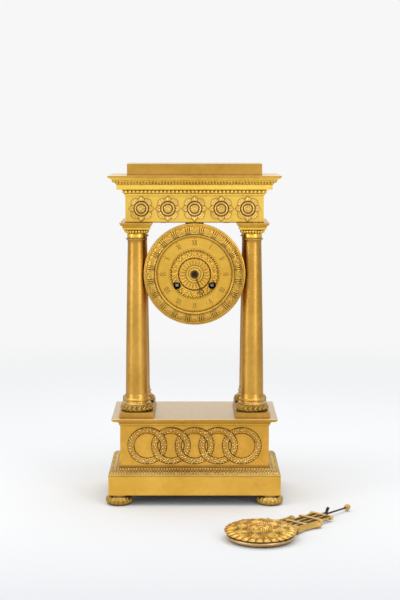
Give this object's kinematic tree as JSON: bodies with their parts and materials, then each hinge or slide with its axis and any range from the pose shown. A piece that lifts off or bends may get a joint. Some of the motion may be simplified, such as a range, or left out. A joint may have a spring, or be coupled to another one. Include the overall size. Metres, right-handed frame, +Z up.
{
  "type": "portico clock",
  "caption": "Gilt bronze portico clock with columns, carved bezel and dial, working train, hinged rear cover and its gridiron pendulum laid beside it.",
  "frame": {"origin": "on the ground under the middle of the four feet", "axes": "+Z up, the dial faces -Y, +X to the right seen from the front"},
  "size_m": [0.3401, 0.3572, 0.4776],
  "materials": {
    "gilt": "matt fire gilding",
    "burnished_gilt": "burnished fire gilding",
    "brass": "polished brass",
    "bronze": "turned bronze",
    "steel": "ground steel",
    "dark_steel": "blued steel"
  },
  "bodies": {
    "case": {"bun_feet": "gilt", "base_plinth": "gilt", "base_moulding": "gilt", "base_block": "gilt", "base_cap": "gilt", "column_plinths": "gilt", "column_bases": "gilt", "column_capitals": "gilt", "abacus_blocks": "gilt", "bead_course": "gilt", "cornice": "gilt", "attic_block": "gilt", "bezel": "gilt", "dial_centre": "gilt", "wreath_mount": "burnished_gilt", "column_shafts": "burnished_gilt", "frieze_box": "burnished_gilt", "frieze_rosettes": "burnished_gilt", "chapter_ring": "burnished_gilt", "case_nuts": "brass", "dial_plate": "brass", "dial_posts": "brass", "front_plate": "brass", "back_plate": "brass", "plate_pillars": "brass", "back_cock": "brass", "cover_hinge": "brass", "drum_saddle": "bronze", "drum_case": "bronze", "bell": "bronze", "case_bolts": "steel", "tie_rods": "steel", "suspension_spring": "steel", "minute_stud": "steel", "bell_stand": "steel"},
    "minute_arbor": {"cannon_pinion": "dark_steel"},
    "minute_wheel": {"minute_wheel": "brass"},
    "hour_hand": {"hour_wheel": "brass", "hour_hand": "dark_steel"},
    "going_barrel": {"going_barrel": "brass"},
    "going_arbor": {"going_arbor": "steel"},
    "strike_barrel": {"strike_barrel": "brass"},
    "strike_arbor": {"strike_arbor": "steel"},
    "intermediate_wheel": {"intermediate_wheel": "brass"},
    "centre_wheel": {"centre_wheel": "brass"},
    "third_wheel": {"third_wheel": "brass"},
    "escape_wheel": {"escape_wheel": "brass"},
    "pallets": {"pallets": "steel"},
    "pin_wheel": {"pin_wheel": "brass"},
    "hammer": {"hammer": "steel"},
    "rear_cover": {"rear_cover": "gilt", "cover_knob": "gilt"},
    "pendulum": {"bob_lens": "brass", "bob_front": "gilt", "pendulum_neck": "gilt", "gridiron_bars": "brass", "gridiron_rods": "steel", "pendulum_hook": "dark_steel", "top_rod": "dark_steel"},
    "rating_knob": {"rating_knob": "brass"}
  },
  "joints": [
    {"name": "minute_turn", "type": "hinge", "parent": "case", "child": "minute_arbor", "pos_m": [0, -0.02, 0.3235], "axis": [0, 1, 0], "continuous": true},
    {"name": "minute_wheel_turn", "type": "hinge", "parent": "case", "child": "minute_wheel", "pos_m": [0, -0.02, 0.3415], "axis": [0, 1, 0], "continuous": true},
    {"name": "hour_turn", "type": "hinge", "parent": "case", "child": "hour_hand", "pos_m": [0, -0.02, 0.3235], "axis": [0, 1, 0], "continuous": true},
    {"name": "third_turn", "type": "hinge", "parent": "case", "child": "third_wheel", "pos_m": [-0.00835, -0.02, 0.33543], "axis": [0, 1, 0], "continuous": true},
    {"name": "escape_turn", "type": "hinge", "parent": "case", "child": "escape_wheel", "pos_m": [0, -0.02, 0.34565], "axis": [0, 1, 0], "continuous": true},
    {"name": "centre_turn", "type": "hinge", "parent": "case", "child": "centre_wheel", "pos_m": [0, -0.02, 0.3235], "axis": [0, 1, 0], "continuous": true},
    {"name": "intermediate_turn", "type": "hinge", "parent": "case", "child": "intermediate_wheel", "pos_m": [0.0144, -0.02, 0.33039], "axis": [0, 1, 0], "continuous": true},
    {"name": "going_barrel_turn", "type": "hinge", "parent": "case", "child": "going_barrel", "pos_m": [0.0245, -0.02, 0.3077], "axis": [0, 1, 0], "continuous": true},
    {"name": "going_wind", "type": "hinge", "parent": "case", "child": "going_arbor", "pos_m": [0.0245, -0.02, 0.3077], "axis": [0, 1, 0], "continuous": true},
    {"name": "strike_barrel_turn", "type": "hinge", "parent": "case", "child": "strike_barrel", "pos_m": [-0.0245, -0.02, 0.3077], "axis": [0, 1, 0], "continuous": true},
    {"name": "pin_wheel_turn", "type": "hinge", "parent": "case", "child": "pin_wheel", "pos_m": [-0.0245, -0.02, 0.33254], "axis": [0, 1, 0], "continuous": true},
    {"name": "strike_wind", "type": "hinge", "parent": "case", "child": "strike_arbor", "pos_m": [-0.0245, -0.02, 0.3077], "axis": [0, 1, 0], "continuous": true},
    {"name": "pallet_swing", "type": "hinge", "parent": "case", "child": "pallets", "pos_m": [0, -0.02, 0.36115], "axis": [0, 1, 0], "range_deg": [-4, 4]},
    {"name": "hammer_lift", "type": "hinge", "parent": "case", "child": "hammer", "pos_m": [-0.037, -0.02, 0.3455], "axis": [0, 1, 0], "range_deg": [0, 14]},
    {"name": "rear_cover_open", "type": "hinge", "parent": "case", "child": "rear_cover", "pos_m": [0.0635, 0.04372, 0.3235], "axis": [0, 0, -1], "range_deg": [0, 110]},
    {"name": "pendulum_lift", "type": "slide", "parent": "case", "child": "pendulum", "axis": [0, 0, 1], "range_m": [0, 0.2]},
    {"name": "rating_knob_turn", "type": "hinge", "parent": "pendulum", "child": "rating_knob", "pos_m": [0.21049, -0.09943, 0.0055], "axis": [0.682, 0.7314, 0], "continuous": true}
  ],
  "couplings": [
    {"joint": "minute_wheel_turn", "follows": "minute_turn", "ratio": -0.66667},
    {"joint": "hour_turn", "follows": "minute_turn", "ratio": 0.083333},
    {"joint": "escape_turn", "follows": "third_turn", "ratio": -9},
    {"joint": "centre_turn", "follows": "third_turn", "ratio": -0.083333},
    {"joint": "intermediate_turn", "follows": "third_turn", "ratio": 0.013889},
    {"joint": "going_barrel_turn", "follows": "third_turn", "ratio": -0.0017361},
    {"joint": "pin_wheel_turn", "follows": "strike_barrel_turn", "ratio": -8}
  ]
}
